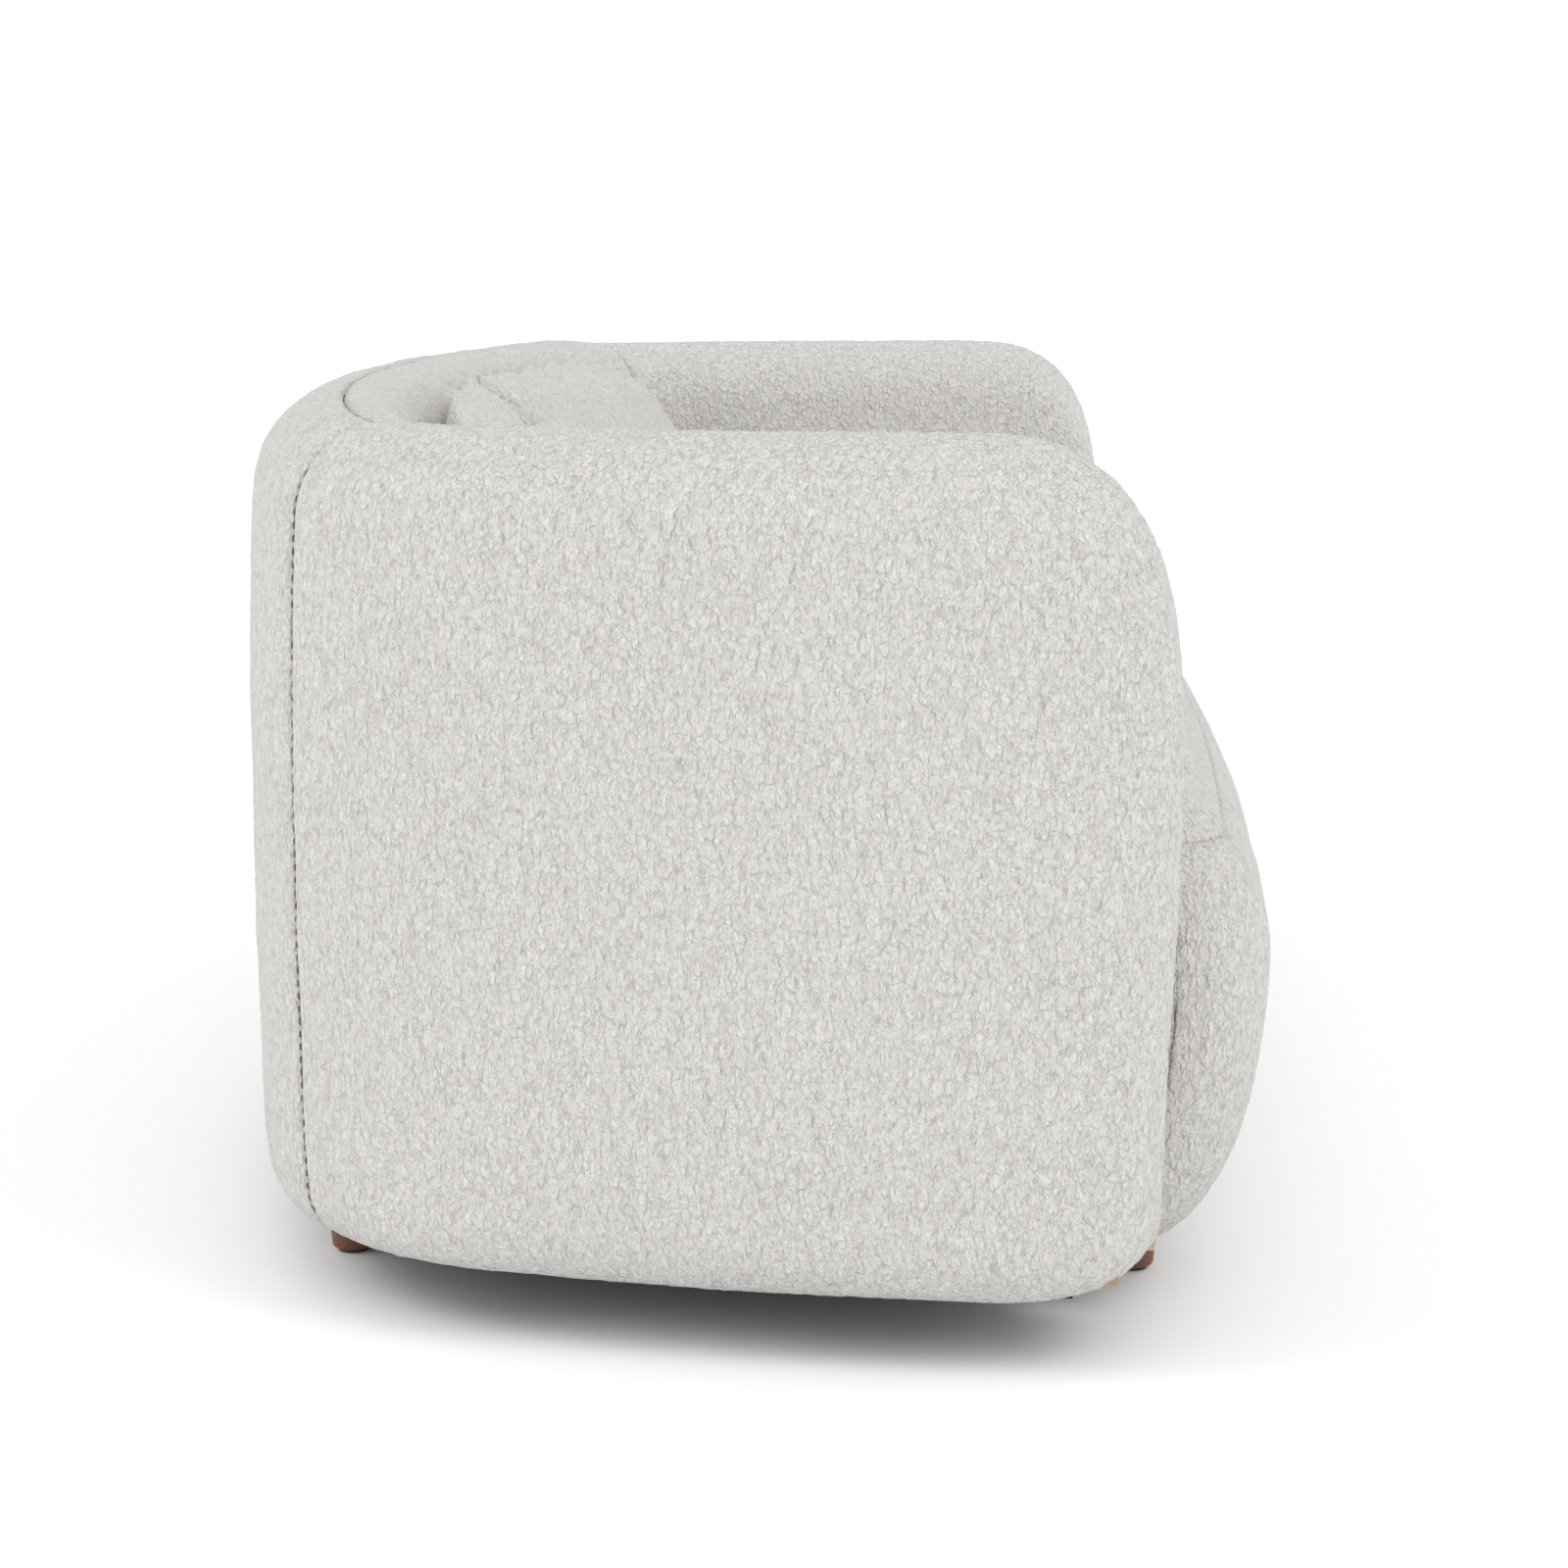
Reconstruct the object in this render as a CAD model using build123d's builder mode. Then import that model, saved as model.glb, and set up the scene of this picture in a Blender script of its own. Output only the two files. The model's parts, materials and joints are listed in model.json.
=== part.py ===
from build123d import *
import os
from math import asin, cos, degrees, radians, sin

# A curved tub sofa on four short turned legs.
# Frame: X runs along the length, the front faces -Y, +Z is up. The origin is on the
# floor, in the middle of the sofa's length and depth. Right is +X. Millimetres.

# ---- driving dimensions -------------------------------------------------------------
sofa_depth = 980            # from the back's outside to the front of the seat
tub_height = 745            # top of the arms and back
tub_bottom = 53             # underside of the upholstery
wall = 165                  # thickness of the arms and back
hem_round = 58              # rounding of the tub's lower outside edge
cover = 3                   # thickness of the pile fabric
slack = 0.3                 # air between a cover and the padding in it

# Plan of the tub's outside: three tangent arcs on each side of the middle of the back
back_radius = 3493
corner_radius = 303
side_radius = 2250
back_turn = 13.3            # heading, in degrees, where the back runs into the corner
corner_end = 75.6           # heading where the corner runs into the arm
arm_end = 90                # heading at the arm's nose
seam_heading = 34           # heading of the upright seam between arm and back

# Nose of the arm
nose_reach = 165            # how far back the rounding of its top corner reaches
nose_drop = 235             # how far down that rounding reaches
nose_lean = 17              # the nose stands back this far at its foot
nose_plan_round = 62        # rounding of its upright edges
middle_reach = 600          # the arm's shaping cuts start this far from the middle
side_reach = 1200           # and end this far from it

# Seat
seat_top = 458
seat_bulge_height = 280     # height of the front's fullest point
seat_top_flat = 825         # the top is flat to here, measured from the back's outside
seat_underside_flat = 887   # the underside is flat to here
seat_bow = 25               # the front stands this much further out in the middle
seat_corner_round = 85
seat_gap = 1                # between the seat and the tub's inside
deck_height = 258           # the seat cover's sides are tucked in down to here
foam_bottom = 262
seat_hem_rear = 795         # the cover's hem under the front ends here

# Hidden frame
frame_bottom = 56
board_thick = 20
thin_board = 4              # the boards behind the webbing
rail_top = 250
frame_outside = 33          # the tub's frame, measured in from the tub's outside
frame_inside = 103
hollow_outside = 28
hollow_inside = 122
top_rail_low = 625
top_rail_high = 660
bottom_rail_high = 96
bottom_rail_outside = 59    # the bottom rails stand inside the rounded lower edge
board_bottom = 75
box_half_width = 850        # the seat box
box_rear = 262
box_front = 862
corner_cut = (780, 325)     # where the seat box's rear corners are cut off
front_rail_half = 905
nose_pad = 45
low_cut = 100               # the inner covers and pads stop here, above the bearers
hem_width = 60              # the outside covers are turned under this far
dust_cover_short = 83       # the dust cover stops this far behind the noses
dust_cover_thick = 1.5
front_bearer = (700, 780)   # depth limits of the long boards under the arms
rear_bearer = (420, 500)
bearer_height = (76, 96)
front_bearer_half = 983
rear_bearer_half = 941
tie_width = (460, 540)      # the boards that tie the back to the front
tie_height = (56, 76)
tie_rear = 150
leg_block_width = (700, 830)
leg_block_depth = (790, 862)
leg_block_height = (56, 96)
middle_post = (4, 4.7)      # headings of the upright posts behind the back cushions
board_gap = 0.2             # between the thin boards and the frame that they cover
seam_bolt_radius = 3
seam_bolt_length = 56
seam_bolt_heights = (220, 500)
arm_screw_radius = 3
arm_screw_length = 110
arm_screw_hold = 66         # length of the screw inside the bearer

# Springs
spring_count = 10
spring_spacing = 150
spring_waves = 8
spring_half_width = 22
spring_wire = 3.8
spring_pad_low = 257
spring_pad_thick = 3
spring_above = 4            # the wire's middle stands this far above the rails
back_straps = (1.5, 4.5, 7.5, 10.5)         # headings of the elastic straps
arm_straps = (77.2, 80.6, 83.6, 87.4)
corner_straps = (22, 58)
strap_thick = 1.8
strap_foot = 80

# Legs
leg_top_radius = 22
leg_foot_radius = 18.5
glide_height = 3
leg_bolt_radius = 4
leg_bolt_depth = 25
front_leg = (765, 850)      # sideways, and in from the back's outside
rear_leg = (745, 155)

# Back cushions
cushion_gap = 6             # from the middle of the sofa to each cushion
cushion_clear = 168         # in from the tub's outside
cushion_low = seat_top + 0.5
cushion_top = 765
cushion_turn = 15.1         # degrees round the back's curve that a cushion takes up
cushion_half_end = 860
cushion_bend = 675          # its rear is upright above here and leans below
cushion_rear_foot = 225     # in from the tub's outside
cushion_front_foot = 355
cushion_middle = (262, 660) # a place on its rounded front, in from the outside and up
cushion_skin = 2.5

back_y = sofa_depth / 2


def at_depth(depth):
    """The y of a place measured forward from the outside of the back."""
    return back_y - depth


def heading_point(centre, radius, heading):
    """A point on an arc of the plan; heading 0 faces the rear and 90 the right."""
    x = centre[0] + radius * sin(radians(heading))
    y = centre[1] + radius * cos(radians(heading))
    return x, y


back_centre = (0, back_y - back_radius)
corner_centre = heading_point(back_centre, back_radius - corner_radius, back_turn)
side_centre = heading_point(corner_centre, corner_radius - side_radius, corner_end)
nose_y = heading_point(side_centre, side_radius, arm_end)[1]
arm_outside = side_centre[0] + side_radius
tub_arcs = (
    (back_centre, back_radius, 0, back_turn),
    (corner_centre, corner_radius, back_turn, corner_end),
    (side_centre, side_radius, corner_end, arm_end),
)


# ---- shared shapes ------------------------------------------------------------------
def sweep_tub(first, last, draw_outline):
    """Carry an upright section round the right half of the tub between two headings."""
    with BuildPart() as run:
        for centre, radius, start, end in tub_arcs:
            begin = max(first, start)
            finish = min(last, end)
            if finish > begin:
                outward = (sin(radians(begin)), cos(radians(begin)), 0)
                along = (cos(radians(begin)), -sin(radians(begin)), 0)
                with BuildSketch(Plane(origin=(*centre, 0), x_dir=outward, z_dir=along)):
                    with BuildLine():
                        draw_outline(radius)
                    make_face()
                revolve(axis=Axis((*centre, 0), (0, 0, -1)), revolution_arc=finish - begin)
    return run.part


def bar(first, last, outside, inside, low, high):
    """A rectangular bar, board or strap that follows the tub."""
    def outline(radius):
        outer = radius - outside
        inner = radius - inside
        Polyline((outer, low), (outer, high), (inner, high), (inner, low), close=True)
    return sweep_tub(first, last, outline)


def wall_section(inset):
    """The padded wall: round over the top, with a rounded lower outside edge."""
    def outline(radius):
        outer = radius - inset
        inner = radius - wall + inset
        low = tub_bottom + inset
        crown = (outer - inner) / 2
        shoulder = tub_height - inset - crown
        hem = hem_round - inset
        Line((outer, low + hem), (outer, shoulder))
        CenterArc((outer - crown, shoulder), crown, 0, 180)
        Line((inner, shoulder), (inner, low))
        Line((inner, low), (outer - hem, low))
        CenterArc((outer - hem, low + hem), hem, 270, 90)
    return outline


def arm_body(inset):
    """The right arm, from the upright seam to its rounded nose."""
    front = nose_y + inset
    top = tub_height - inset
    foot = tub_bottom + inset
    foot_front = front + nose_lean
    hem = hem_round - inset
    reach = nose_reach - inset
    drop = nose_drop - inset
    inner = arm_outside - wall + inset
    outer = arm_outside - inset
    far = back_y + 10
    edge = nose_plan_round - inset
    with BuildPart() as body:
        add(sweep_tub(seam_heading, arm_end, wall_section(inset)))
        with BuildSketch(Plane.YZ.offset(middle_reach)):
            with BuildLine():
                Line((far, top), (front + reach, top))
                EllipticalCenterArc((front + reach, top - drop), reach, drop, 90, arc_size=90)
                Line((front, top - drop), (foot_front, foot + hem))
                CenterArc((foot_front + hem, foot + hem), hem, 180, 90)
                Line((foot_front + hem, foot), (far, foot))
                Line((far, foot), (far, top))
            make_face()
        extrude(amount=side_reach - middle_reach, mode=Mode.INTERSECT)
        with BuildSketch(Plane.XY):
            with BuildLine():
                Line((middle_reach, far), (middle_reach, front + edge))
                Line((middle_reach, front + edge), (inner, front + edge))
                CenterArc((inner + edge, front + edge), edge, 180, 90)
                Line((inner + edge, front), (outer - edge, front))
                CenterArc((outer - edge, front + edge), edge, 270, 90)
                Line((outer, front + edge), (side_reach, front + edge))
                Line((side_reach, front + edge), (side_reach, far))
                Line((side_reach, far), (middle_reach, far))
            make_face()
        extrude(amount=tub_height, mode=Mode.INTERSECT)
    return body.part


def both_sides(part):
    """A right half and its mirror image, joined in the middle."""
    with BuildPart() as whole:
        add(part)
        mirror(about=Plane.YZ)
    return whole.part


def back_body(inset):
    return both_sides(sweep_tub(0, seam_heading, wall_section(inset)))


def inner_plan(inset):
    """Arcs along the tub's inside, from the middle of the back to the right nose."""
    for centre, radius, start, end in tub_arcs:
        CenterArc(centre, radius - inset, 90 - start, start - end)


def seat_body(inset):
    """The seat: flat on top, full at the front and rolled under to its foot."""
    side = arm_outside - wall - seat_gap - inset
    front = -sofa_depth / 2 + inset
    bow_radius = (side**2 + seat_bow**2) / (2 * seat_bow)
    bow_centre = (0, front + bow_radius)
    bow_turn = degrees(asin(side / bow_radius))
    side_front = heading_point(bow_centre, bow_radius, 180 - bow_turn)[1]
    top = seat_top - inset
    low = tub_bottom + inset
    upper_centre = at_depth(seat_top_flat)
    lower_centre = at_depth(seat_underside_flat)
    with BuildPart() as half:
        with BuildSketch(Plane.YZ):
            with BuildLine():
                Line((back_y, low), (back_y, top))
                Line((back_y, top), (upper_centre, top))
                EllipticalCenterArc(
                    (upper_centre, seat_bulge_height),
                    upper_centre - front, top - seat_bulge_height, 90, arc_size=90)
                EllipticalCenterArc(
                    (lower_centre, seat_bulge_height),
                    lower_centre - front, seat_bulge_height - low, 180, arc_size=90)
                Line((lower_centre, low), (back_y, low))
            make_face()
        revolve(axis=Axis((*bow_centre, 0), (0, 0, 1)), revolution_arc=bow_turn + 1)
        with BuildSketch(Plane.XY):
            with BuildLine():
                inner_plan(wall + seat_gap + inset)
                Line((side, nose_y), (side, side_front))
                CenterArc(bow_centre, bow_radius, 270 + bow_turn, -bow_turn)
                Line((0, front), (0, back_y - wall - seat_gap - inset))
            make_face()
            front_corner = vertices().sort_by(Axis.Y)[1]
            fillet(front_corner, seat_corner_round - inset)
        extrude(amount=tub_height, mode=Mode.INTERSECT)
    return both_sides(half.part)


def cushion_body(inset):
    """The right back cushion: thin along its top, full lower down, leaning back."""
    low = cushion_low + inset
    high = cushion_top - inset
    rear = back_radius - cushion_clear - inset
    rear_foot = back_radius - cushion_rear_foot - inset
    front_foot = back_radius - cushion_front_foot + inset
    front_middle = (back_radius - cushion_middle[0] + inset, cushion_middle[1] - inset)
    middle = cushion_gap + inset
    end = cushion_half_end - inset
    with BuildPart() as body:
        with BuildSketch(Plane(origin=(*back_centre, 0), x_dir=(0, 1, 0), z_dir=(1, 0, 0))):
            with BuildLine():
                Line((rear_foot, low), (rear, cushion_bend))
                Line((rear, cushion_bend), (rear, high))
                ThreePointArc((rear, high), front_middle, (front_foot, low))
                Line((front_foot, low), (rear_foot, low))
            make_face()
        revolve(axis=Axis((*back_centre, 0), (0, 0, -1)), revolution_arc=cushion_turn)
        with BuildSketch(Plane.XY):
            with Locations(((middle + end) / 2, 0)):
                Rectangle(end - middle, sofa_depth)
        extrude(amount=tub_height * 2, mode=Mode.INTERSECT)
        with BuildSketch(Plane.XY):
            with BuildLine():
                inner_plan(cushion_clear + inset)
                Line((arm_outside - cushion_clear - inset, nose_y), (0, nose_y))
                Line((0, nose_y), (0, back_y - cushion_clear - inset))
            make_face()
        extrude(amount=tub_height * 2, mode=Mode.INTERSECT)
    return body.part


def save(part, name):
    part.label = name
    export_step(part, f"parts/{name}.step")


def save_pair(part, name):
    """Write a right-hand piece and its mirror image."""
    save(part, f"{name}_right")
    with BuildPart() as left:
        mirror(part, about=Plane.YZ)
    save(left.part, f"{name}_left")


def block(x, depth, z, mode=Mode.ADD):
    """A square-edged block between pairs of sideways, depth and height limits."""
    middle = ((x[0] + x[1]) / 2, at_depth((depth[0] + depth[1]) / 2), (z[0] + z[1]) / 2)
    with Locations(middle):
        Box(x[1] - x[0], depth[1] - depth[0], z[1] - z[0], mode=mode)


def bore(place, radius, low, high):
    """Upright holes at the same place on both sides of the sofa."""
    x, y, z = place[0], at_depth(place[1]), (low + high) / 2
    with Locations((x, y, z), (-x, y, z)):
        Cylinder(radius, high - low, mode=Mode.SUBTRACT)


os.makedirs("parts", exist_ok=True)

# ---- fabric covers ------------------------------------------------------------------
crest = wall / 2
beyond = wall + 5
above = tub_height + 5
whole_width = (-arm_outside, arm_outside)
whole_depth = (0, sofa_depth + 10)
front_tuck = arm_end - degrees(60 / side_radius)

with BuildPart() as arm_skin:
    add(arm_body(0))
    add(arm_body(cover), mode=Mode.SUBTRACT)
    add(bar(0, front_tuck, hem_width, beyond, 0, frame_bottom + 1), mode=Mode.SUBTRACT)
    add(bar(0, front_tuck, crest, beyond, 0, low_cut), mode=Mode.SUBTRACT)

with BuildPart() as arm_outer_cover:
    add(arm_skin.part)
    add(bar(0, arm_end, crest, beyond, 0, above), mode=Mode.SUBTRACT)
save_pair(arm_outer_cover.part, "arm_outer_cover")

with BuildPart() as arm_inner_cover:
    add(arm_skin.part)
    add(bar(0, arm_end, -5, crest, 0, above), mode=Mode.SUBTRACT)
save_pair(arm_inner_cover.part, "arm_inner_cover")

with BuildPart() as back_skin:
    add(back_body(0))
    add(back_body(cover), mode=Mode.SUBTRACT)
    add(both_sides(bar(0, seam_heading, hem_width, beyond, 0, frame_bottom + 1)), mode=Mode.SUBTRACT)
    add(both_sides(bar(0, seam_heading, crest, beyond, 0, low_cut)), mode=Mode.SUBTRACT)

with BuildPart() as back_outer_cover:
    add(back_skin.part)
    add(both_sides(bar(0, seam_heading, crest, beyond, 0, above)), mode=Mode.SUBTRACT)
save(back_outer_cover.part, "back_outer_cover")

with BuildPart() as back_inner_cover:
    add(back_skin.part)
    add(both_sides(bar(0, seam_heading, -5, crest, 0, above)), mode=Mode.SUBTRACT)
save(back_inner_cover.part, "back_inner_cover")

with BuildPart() as seat_cover:
    add(seat_body(0))
    add(seat_body(cover), mode=Mode.SUBTRACT)
    block(whole_width, (0, seat_hem_rear), (0, deck_height), Mode.SUBTRACT)
    bore(front_leg, leg_bolt_radius + 0.5, 0, frame_bottom + 2)
save(seat_cover.part, "seat_cover")

with BuildPart() as dust_cover:
    with BuildSketch(Plane.XY.offset(tub_bottom)):
        with BuildLine():
            inner_plan(hem_width + 1)
            Line((arm_outside - hem_width - 1, nose_y), (0, nose_y))
            Line((0, nose_y), (0, back_y - hem_width - 1))
        make_face()
        mirror(about=Plane.YZ)
        with Locations((0, nose_y)):
            Rectangle(3 * arm_outside, 2 * dust_cover_short, mode=Mode.SUBTRACT)
    extrude(amount=dust_cover_thick)
    bore(rear_leg, leg_bolt_radius + 0.5, 0, frame_bottom)
save(dust_cover.part, "dust_cover")

# ---- padding ------------------------------------------------------------------------
pad_inset = cover + slack
cavity_front = arm_end - degrees(nose_pad / side_radius)
hollow_top = top_rail_high + 1

with BuildPart() as arm_foam:
    add(arm_body(pad_inset))
    add(bar(seam_heading, cavity_front, hollow_outside, hollow_inside, 0, hollow_top), mode=Mode.SUBTRACT)
    add(bar(0, front_tuck, hollow_inside - 1, beyond, 0, low_cut), mode=Mode.SUBTRACT)
save_pair(arm_foam.part, "arm_foam")

with BuildPart() as back_foam:
    add(back_body(pad_inset))
    add(both_sides(bar(0, seam_heading, hollow_outside, hollow_inside, 0, hollow_top)), mode=Mode.SUBTRACT)
    add(both_sides(bar(0, seam_heading, hollow_inside - 1, beyond, 0, low_cut)), mode=Mode.SUBTRACT)
save(back_foam.part, "back_foam")

seat_block = seat_body(pad_inset)
with BuildPart() as seat_foam:
    add(seat_block)
    block(whole_width, whole_depth, (0, foam_bottom), Mode.SUBTRACT)
save(seat_foam.part, "seat_foam")

with BuildPart() as seat_front_foam:
    add(seat_block)
    block(whole_width, (0, box_front + 0.5), (0, above), Mode.SUBTRACT)
    block(whole_width, whole_depth, (foam_bottom - 0.5, above), Mode.SUBTRACT)
save(seat_front_foam.part, "seat_front_foam")

# ---- tub frame ----------------------------------------------------------------------
def seam_bolts(radius):
    """Bolts that hold the end post of the back against the rear post of the right arm."""
    middle = heading_point(corner_centre, corner_radius - (frame_outside + frame_inside) / 2, seam_heading)
    along = (cos(radians(seam_heading)), -sin(radians(seam_heading)), 0)
    with BuildPart() as bolts:
        for height in seam_bolt_heights:
            with BuildSketch(Plane(origin=(*middle, height), z_dir=along)):
                Circle(radius)
            extrude(amount=seam_bolt_length / 2, both=True)
    return bolts.part


def arm_screws(radius):
    """Long screws through the foot of the right arm's frame into the two bearers."""
    with BuildPart() as screws:
        for depth, end in ((front_bearer, front_bearer_half), (rear_bearer, rear_bearer_half)):
            with BuildSketch(Plane.YZ.offset(end - arm_screw_hold)):
                with Locations((at_depth(sum(depth) / 2), sum(bearer_height) / 2)):
                    Circle(radius)
            extrude(amount=arm_screw_length)
    return screws.part


def frame_bar(first, last, low, high):
    return bar(first, last, frame_outside, frame_inside, low, high)


back_joint = seam_heading - 0.1
arm_joint = seam_heading + 0.1
post_turn = degrees(board_thick * 1.6 / (corner_radius - frame_inside))
bottom_limits = (bottom_rail_outside, frame_inside, frame_bottom, bottom_rail_high)
bottom_rail_front = arm_end - degrees(80 / side_radius)

with BuildPart() as back_top_rail:
    add(both_sides(frame_bar(0, back_joint, top_rail_low, top_rail_high)))
save(back_top_rail.part, "back_top_rail")

with BuildPart() as back_bottom_rail:
    add(both_sides(bar(0, back_joint, *bottom_limits)))
    bore(rear_leg, leg_bolt_radius + 0.1, 0, tub_height)
save(back_bottom_rail.part, "back_bottom_rail")

with BuildPart() as back_end_post:
    add(frame_bar(back_joint - post_turn, back_joint, bottom_rail_high, top_rail_low))
    add(seam_bolts(seam_bolt_radius + 0.1), mode=Mode.SUBTRACT)
save_pair(back_end_post.part, "back_end_post")

with BuildPart() as back_middle_post:
    add(frame_bar(*middle_post, bottom_rail_high, top_rail_low))
save_pair(back_middle_post.part, "back_middle_post")

with BuildPart() as arm_top_rail:
    add(frame_bar(arm_joint, cavity_front - 0.1, top_rail_low, top_rail_high))
save_pair(arm_top_rail.part, "arm_top_rail")

with BuildPart() as arm_bottom_rail:
    add(bar(arm_joint, bottom_rail_front, *bottom_limits))
    add(arm_screws(arm_screw_radius + 0.1), mode=Mode.SUBTRACT)
save_pair(arm_bottom_rail.part, "arm_bottom_rail")

with BuildPart() as arm_rear_post:
    add(frame_bar(arm_joint, arm_joint + post_turn, bottom_rail_high, top_rail_low))
    add(seam_bolts(seam_bolt_radius + 0.1), mode=Mode.SUBTRACT)
save_pair(arm_rear_post.part, "arm_rear_post")

with BuildPart() as arm_front_post:
    add(frame_bar(cavity_front - 1.1, cavity_front - 0.1, bottom_rail_high, top_rail_low))
save_pair(arm_front_post.part, "arm_front_post")

board_limits = (
    frame_outside - board_gap - thin_board, frame_outside - board_gap, board_bottom, top_rail_high)
with BuildPart() as back_board:
    add(both_sides(bar(0, back_joint, *board_limits)))
save(back_board.part, "back_board")

with BuildPart() as arm_board:
    add(bar(arm_joint, cavity_front - 0.1, *board_limits))
save_pair(arm_board.part, "arm_board")


def strap(heading, half_turn):
    near = frame_inside + board_gap
    return bar(heading - half_turn, heading + half_turn,
               near, near + strap_thick, strap_foot, top_rail_high - 5)


with BuildPart() as back_webbing:
    for heading in back_straps:
        add(strap(heading, 0.5))
    add(strap(corner_straps[0], 7))
    mirror(about=Plane.YZ)
save(back_webbing.part, "back_webbing")

with BuildPart() as arm_webbing:
    add(strap(corner_straps[1], 7))
    for heading in arm_straps:
        add(strap(heading, 0.75))
save_pair(arm_webbing.part, "arm_webbing")

# ---- seat box -----------------------------------------------------------------------
upright = (frame_bottom, rail_top)

with BuildPart() as seat_front_rail:
    block((-front_rail_half, front_rail_half), (box_front - board_thick, box_front), upright)
    for side in (leg_block_width, (-leg_block_width[1], -leg_block_width[0])):
        block(side, leg_block_depth, leg_block_height, Mode.SUBTRACT)
save(seat_front_rail.part, "seat_front_rail")

with BuildPart() as seat_rear_rail:
    block((-corner_cut[0], corner_cut[0]), (box_rear, box_rear + board_thick), upright)
    for side in (tie_width, (-tie_width[1], -tie_width[0])):
        block(side, whole_depth, tie_height, Mode.SUBTRACT)
save(seat_rear_rail.part, "seat_rear_rail")

with BuildPart() as seat_side_rail:
    block((box_half_width - board_thick, box_half_width), (corner_cut[1], box_front - board_thick), upright)
    for bearer in (front_bearer, rear_bearer):
        block(whole_width, bearer, bearer_height, Mode.SUBTRACT)
save_pair(seat_side_rail.part, "seat_side_rail")

with BuildPart() as corner_rail:
    with BuildSketch(Plane.XY.offset(frame_bottom)):
        with BuildLine():
            Polyline(
                (corner_cut[0], at_depth(box_rear)),
                (box_half_width, at_depth(corner_cut[1])),
                (box_half_width - board_thick, at_depth(corner_cut[1])),
                (corner_cut[0], at_depth(box_rear + board_thick)),
                close=True)
        make_face()
    extrude(amount=rail_top - frame_bottom)
save_pair(corner_rail.part, "corner_rail")

with BuildPart() as leg_block:
    block(leg_block_width, leg_block_depth, leg_block_height)
    bore(front_leg, leg_bolt_radius + 0.1, 0, tub_height)
save_pair(leg_block.part, "leg_block")

bearers = (("front_bearer", front_bearer, front_bearer_half), ("rear_bearer", rear_bearer, rear_bearer_half))
for name, depth, half in bearers:
    with BuildPart() as bearer:
        block((-half, half), depth, bearer_height)
        add(both_sides(arm_screws(arm_screw_radius + 0.1)), mode=Mode.SUBTRACT)
    save(bearer.part, name)

with BuildPart() as tie_board:
    block(tie_width, (tie_rear, box_front - board_thick), tie_height)
save_pair(tie_board.part, "tie_board")

with BuildPart() as centre_rail:
    block((-board_thick / 2, board_thick / 2),
          (box_rear + board_thick, box_front - board_thick), (bearer_height[1], rail_top - 30))
save(centre_rail.part, "centre_rail")

# ---- springs ------------------------------------------------------------------------
spring_rear = box_rear + 0.75 * board_thick
spring_front = box_front - 0.75 * board_thick
spring_pitch = (spring_front - spring_rear) / (2 * spring_waves)
spring_level = rail_top + spring_above

with BuildPart() as spring:
    with BuildLine() as wire:
        bends = []
        for step in range(2 * spring_waves):
            side = spring_half_width if step % 2 else -spring_half_width
            bends.append((side, at_depth(spring_rear + step * spring_pitch), spring_level))
            bends.append((side, at_depth(spring_rear + (step + 1) * spring_pitch), spring_level))
        FilletPolyline(*bends, radius=0.45 * spring_pitch)
    with BuildSketch(Plane(origin=wire.line @ 0, z_dir=wire.line % 0)):
        Circle(spring_wire / 2)
    sweep()

with BuildPart() as seat_springs:
    for number in range(spring_count):
        place = (number - (spring_count - 1) / 2) * spring_spacing
        with Locations((place, 0, 0)):
            add(spring.part)
save(seat_springs.part, "seat_springs")

with BuildPart() as spring_pad:
    block((-box_half_width, box_half_width), (corner_cut[1], box_front - 2),
          (spring_pad_low, spring_pad_low + spring_pad_thick))
    block((-corner_cut[0] + 10, corner_cut[0] - 10), (box_rear + 4, corner_cut[1]),
          (spring_pad_low, spring_pad_low + spring_pad_thick))
save(spring_pad.part, "spring_pad")

# ---- legs and hardware --------------------------------------------------------------
def leg(place):
    """A short turned leg with a softened foot and a socket for its bolt."""
    x, depth = place
    with BuildPart() as turned:
        with BuildSketch(Plane(origin=(x, at_depth(depth), 0), x_dir=(1, 0, 0), z_dir=(0, -1, 0))):
            with BuildLine():
                Polyline(
                    (0, glide_height), (leg_foot_radius, glide_height),
                    (leg_top_radius, tub_bottom), (0, tub_bottom), close=True)
            make_face()
            fillet(vertices().sort_by(Axis.Y)[:2].sort_by(Axis.X)[-1], 5)
        revolve(axis=Axis((x, at_depth(depth), 0), (0, 0, 1)))
        with BuildSketch(Plane.XY.offset(tub_bottom)):
            with Locations((x, at_depth(depth))):
                Circle(leg_bolt_radius + 0.1)
        extrude(amount=-leg_bolt_depth, mode=Mode.SUBTRACT)
    return turned.part


save_pair(leg(front_leg), "front_leg")
save_pair(leg(rear_leg), "rear_leg")

leg_places = [(side * x, at_depth(depth)) for x, depth in (front_leg, rear_leg) for side in (1, -1)]

with BuildPart() as leg_bolts:
    with BuildSketch(Plane.XY.offset(tub_bottom - leg_bolt_depth)):
        with Locations(*leg_places):
            Circle(leg_bolt_radius)
    extrude(amount=leg_bolt_depth + bottom_rail_high - tub_bottom - 5)
save(leg_bolts.part, "leg_bolts")

with BuildPart() as leg_glides:
    with BuildSketch(Plane.XY):
        with Locations(*leg_places):
            Circle(leg_foot_radius - 5.5)
    extrude(amount=glide_height)
    chamfer(faces().sort_by(Axis.Z)[:4].edges(), 0.6)
save(leg_glides.part, "leg_glides")

with BuildPart() as frame_screws:
    add(seam_bolts(seam_bolt_radius))
    add(arm_screws(arm_screw_radius))
    mirror(about=Plane.YZ)
save(frame_screws.part, "frame_screws")

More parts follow.
